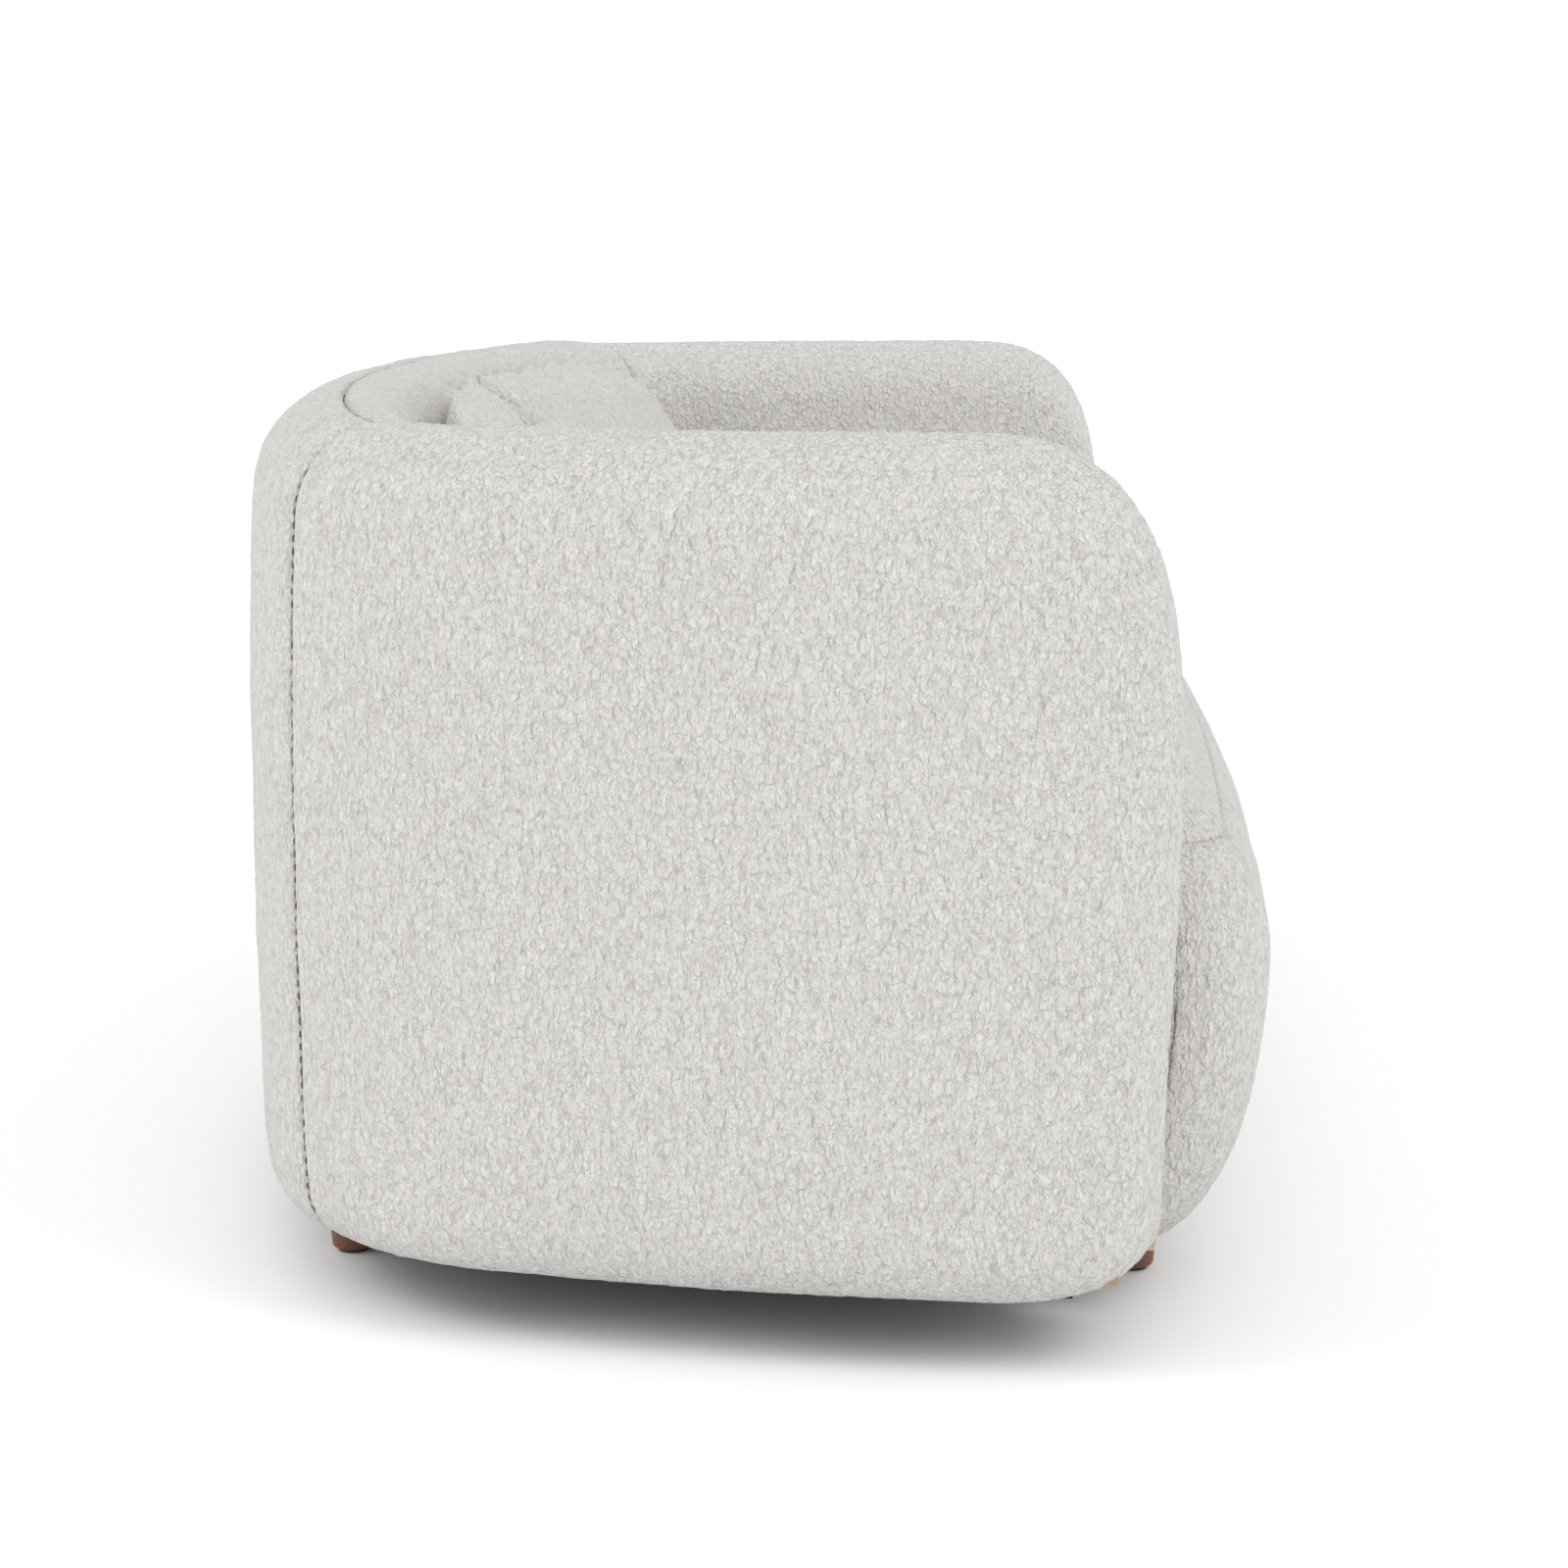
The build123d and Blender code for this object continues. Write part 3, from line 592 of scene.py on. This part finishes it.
top_rows, low_rows = seat_rows(fullness, footing)
edge = around(top_rows)
share = np.linspace(0, 1, round(0.3 / pitch) + 1)[::-1][:-1, None]
middle = np.concatenate([spine, np.full((len(spine), 1), seat_high)], -1)
inside = middle[:, None, :] * share + edge[:, :1, :] * (1 - share)
top_panel = np.concatenate([inside, edge], 1)
forward = (top_panel[:, :, 1] - (seat_front + 0.11)) / (0.10 - seat_front - 0.11)
swell = np.sin(np.clip(forward, 0, 1) * math.pi) ** 2 * np.clip(1 - (top_panel[:, :, 0] / 0.95) ** 4, 0, 1)
top_panel[:, :, 2] += seat_crown * swell * (top_panel[:, :, 2] > seat_high - 0.03)
seat_top = put("seat_top_panel", grid_mesh("seat_top", top_panel, ring=True), pile,
               "sofa", ["seat_foam"])
add_nubs(seat_top, 0.003)
seat_face = put("seat_front_panel", grid_mesh("seat_face", around(low_rows), ring=True), pile,
                "sofa", ["seat_cover", "seat_front_foam"])
add_nubs(seat_face, 0.003)


# ---- loose back cushions ------------------------------------------------------------
def pillow(points):
    """Thin the ends of the plain filling, and lower its top corners, as on a sewn pillow."""
    low, high = points.min(0), points.max(0)
    along = (points[:, 0] - (low[0] + high[0]) / 2) / ((high[0] - low[0]) / 2)
    outward = along * np.sign((low[0] + high[0]) / 2)
    up = (points[:, 2] - low[2]) / (high[2] - low[2])
    inner, outer = sorted((abs(low[0]), abs(high[0])))
    aside = np.abs(points[:, 0])
    points[:, 0] *= (inner + (aside - inner) * (cushion_reach - inner) / (outer - inner)) / np.maximum(aside, 1e-6)
    from_arc = points[:, :2] - np.array(back_centre)
    reach = np.linalg.norm(from_arc, axis=1)
    foot, above, bend = cushion_rear
    rear = np.where(points[:, 2] > bend, above, foot + (above - foot) * (points[:, 2] - low[2]) / (bend - low[2]))
    front = cushion_front[0] + (cushion_front[1] - cushion_front[0]) * up ** 1.6
    middle = back_radius - (rear * 0.8 + front * 0.2)
    squareness = np.where(outward > 0, 2, 6)
    roundness = np.where(outward > 0, 0.75, 0.5)
    thin = cushion_end + (1 - cushion_end) * np.clip(1 - np.abs(along) ** squareness, 0, 1) ** roundness
    new_reach = middle + (reach - middle) * thin
    points[:, :2] = np.array(back_centre) + from_arc * (new_reach / reach)[:, None]
    waist = cushion_waist * np.abs(along) ** 3 * (1 - (2 * up - 1) ** 2)
    points[:, 0] -= np.sign(along) * waist
    points[:, 2] -= cushion_drop * np.clip(outward, 0, 1) ** 3 * up ** 3
    return points


def corners(mesh):
    flat = np.empty(len(mesh.vertices) * 3, np.float32)
    mesh.vertices.foreach_get("co", flat)
    return flat.reshape(-1, 3).astype(float)


def set_corners(mesh, points):
    mesh.vertices.foreach_set("co", points.astype(np.float32).ravel())
    mesh.update()


def apply(piece, kind, name, **settings):
    """Add a modifier with these settings and apply it."""
    step = piece.modifiers.new(name, kind)
    for key, value in settings.items():
        setattr(step, key, value)
    bpy.ops.object.modifier_apply(modifier=name)


def swollen_cushion(node):
    """The cushion's filling, blown up as cloth so that its sides crown between their seams."""
    source = frame["nodes"][node]
    mesh = source.data.copy()
    cushion = bpy.data.objects.new("cushion_form", mesh)
    bpy.context.scene.collection.objects.link(cushion)
    bpy.context.view_layer.objects.active = cushion
    apply(cushion, "REMESH", "even_filling", mode="VOXEL", voxel_size=0.012)
    set_corners(mesh, pillow(corners(mesh)))
    apply(cushion, "REMESH", "even_cloth", mode="VOXEL", voxel_size=0.007)
    apply(cushion, "SMOOTH", "soft_edges", factor=0.5, iterations=6)
    start = corners(mesh)
    blown = cushion.modifiers.new("pressure", "CLOTH")
    blown.settings.use_pressure = True
    blown.settings.uniform_pressure_force = 4
    blown.settings.effector_weights.gravity = 0
    blown.settings.quality = 4
    blown.point_cache.frame_start = 1
    blown.point_cache.frame_end = 20
    for count in range(1, 21):
        bpy.context.scene.frame_set(count)
    bpy.ops.object.modifier_apply(modifier="pressure")
    bpy.context.scene.frame_set(1)
    moved = corners(mesh) - start
    far = np.linalg.norm(moved, axis=1, keepdims=True)
    set_corners(mesh, start + moved * np.minimum(1, cushion_swell / np.maximum(far, 1e-9)))
    apply(cushion, "SUBSURF", "finer", levels=1)
    mesh.polygons.foreach_set("use_smooth", [True] * len(mesh.polygons))
    bpy.data.objects.remove(cushion)
    return mesh


for side in ("left", "right"):
    form = swollen_cushion(f"cushion_fill_{side}")
    cushion = put(f"back_cushion_{side}", form, pile, f"{side}_back_cushion",
                  [f"cushion_cover_{side}", f"cushion_fill_{side}"])
    add_nubs(cushion)


# ---- floor, light and camera --------------------------------------------------------
floor_mesh = bpy.data.meshes.new("floor")
reach = 40
floor_corners = [(-reach, -reach, 0), (reach, -reach, 0), (reach, reach, 0), (-reach, reach, 0)]
floor_mesh.from_pydata(floor_corners, [], [(0, 1, 2, 3)])
floor = bpy.data.objects.new("floor", floor_mesh)
bpy.context.scene.collection.objects.link(floor)
pale = Finish("pale_floor", Specular_IOR_Level=0.0)
floor_mesh.materials.append(pale.done((1.0, 1.0, 1.0), 1.0))

world = bpy.data.worlds.new("studio")
world.use_nodes = True
surround = world.node_tree.nodes["Background"]
surround.inputs["Color"].default_value = (1, 1, 1, 1)
surround.inputs["Strength"].default_value = 1.0
bpy.context.scene.world = world
bpy.context.scene.view_settings.view_transform = "Standard"


def soft_light(name, place, power, spread):
    """A broad, soft light from the direction of a place."""
    lamp = bpy.data.lights.new(name, "SUN")
    lamp.energy = power
    lamp.angle = math.radians(spread)
    light = bpy.data.objects.new(name, lamp)
    light.location = place
    light.rotation_mode = "QUATERNION"
    light.rotation_quaternion = (-Vector(place)).to_track_quat("-Z", "Y")
    bpy.context.scene.collection.objects.link(light)


soft_light("front_key", (-0.3, -0.6, 0.75), 0.45, 25)
soft_light("rear_key", (-0.2, 0.7, 0.7), 0.45, 25)

eye = bpy.data.cameras.new("eye")
eye.lens = 83.24
eye.sensor_width = 36
camera = bpy.data.objects.new("camera", eye)
camera.location = (-3.8675, -0.2114, 0.9234)
yaw, pitch_down = math.radians(2.928), math.radians(9.0487)
level = math.cos(pitch_down)
ahead = Vector((math.cos(yaw) * level, math.sin(yaw) * level, -math.sin(pitch_down)))
camera.rotation_mode = "QUATERNION"
camera.rotation_quaternion = ahead.to_track_quat("-Z", "Y")
bpy.context.scene.collection.objects.link(camera)
bpy.context.scene.camera = camera
